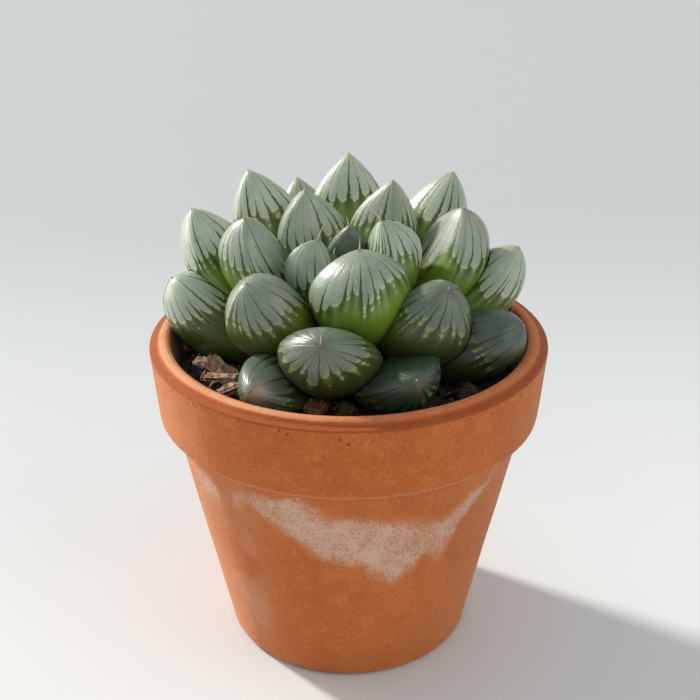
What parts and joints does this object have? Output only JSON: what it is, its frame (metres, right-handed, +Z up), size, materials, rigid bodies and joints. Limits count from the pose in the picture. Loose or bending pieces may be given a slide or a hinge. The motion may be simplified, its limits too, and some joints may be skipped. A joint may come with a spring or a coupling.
{
  "type": "potted haworthia",
  "caption": "Small succulent rosette of plump, pointed leaves with translucent window tips, growing in gritty bark soil in a collared terracotta pot.",
  "frame": {"origin": "middle of the pot's foot, on the surface that the pot stands on", "axes": "+Z up along the pot's axis, -Y towards the front, to which the plant leans a little, +X to the right seen from the front"},
  "size_m": [0.08, 0.08, 0.096],
  "materials": {
    "terracotta": "matte",
    "soil": "matte",
    "stem": "matte",
    "leaf": "satin",
    "bark": "matte",
    "perlite": "matte",
    "grit": "matte"
  },
  "bodies": {
    "root": {"pot": "terracotta", "soil": "soil", "stem": "stem", "heart_leaf_back": "leaf", "heart_leaf_left": "leaf", "heart_leaf_front": "leaf", "inner_leaf_left": "leaf", "inner_leaf_right": "leaf", "inner_leaf_front": "leaf", "inner_leaf_back_right": "leaf", "inner_leaf_back_left": "leaf", "middle_leaf_back": "leaf", "middle_leaf_left": "leaf", "middle_leaf_right": "leaf", "middle_leaf_back_left": "leaf", "middle_leaf_back_right": "leaf", "middle_leaf_front_left": "leaf", "middle_leaf_front_right": "leaf", "outer_leaf_front": "leaf", "outer_leaf_left": "leaf", "outer_leaf_left_back": "leaf", "outer_leaf_right_back": "leaf", "outer_leaf_right": "leaf", "outer_leaf_far_left": "leaf", "outer_leaf_far_back": "leaf", "outer_leaf_back_left": "leaf", "outer_leaf_back_right": "leaf", "outer_leaf_front_left": "leaf", "outer_leaf_front_right": "leaf", "lowest_leaf_left": "leaf", "lowest_leaf_right": "leaf", "bark_chip_large": "bark", "bark_chip_long": "bark", "bark_chip_edge": "bark", "bark_chip_side": "bark", "perlite_side": "perlite", "perlite_back": "perlite", "pebble_front": "grit", "pebble_front_dark": "grit", "pebble_right": "grit", "pebble_back": "grit"}
  },
  "joints": []
}
